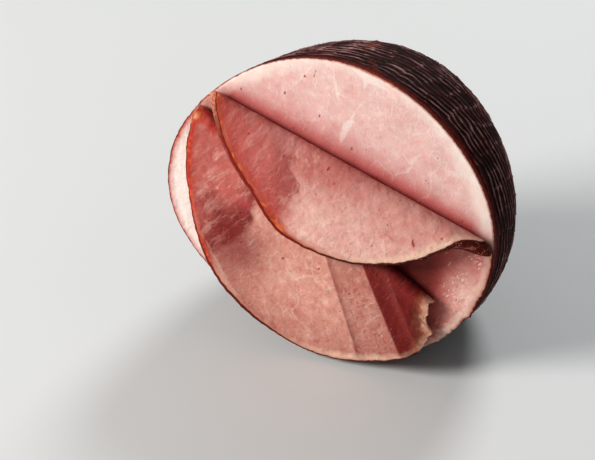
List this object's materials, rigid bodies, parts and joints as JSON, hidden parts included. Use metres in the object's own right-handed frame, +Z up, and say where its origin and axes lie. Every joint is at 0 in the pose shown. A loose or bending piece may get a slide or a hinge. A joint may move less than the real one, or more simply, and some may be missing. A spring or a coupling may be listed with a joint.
{
  "type": "boneless country ham",
  "caption": "Half of a smoked boneless ham resting on its side, with a domed ridged rind, a flat cut face and thin slices folded forward over the face.",
  "frame": {"origin": "on the surface the ham rests on, under the middle of its bounding box", "axes": "+Z up; the cut face looks towards -Y and leans back 5 degrees; the domed end points to +Y; +X is to the right for someone looking at the cut face"},
  "size_m": [0.1752, 0.1164, 0.1666],
  "materials": {
    "smoked_rind": "near-black red-brown smoked skin, ridged by a net, with a soft greasy sheen; the cut face is moist pale pink meat with cream fat at its edge",
    "inner_slice_meat": "moist dusky to salmon pink meat with pale veins, a cream fat edge and a thin dark rind",
    "outer_slice_meat": "moist deep red to salmon pink meat with pale veins, a cream fat edge and a thin dark rind"
  },
  "bodies": {
    "root": {"ham_block": "smoked_rind", "inner_slice": "inner_slice_meat", "outer_slice": "outer_slice_meat"}
  },
  "joints": []
}
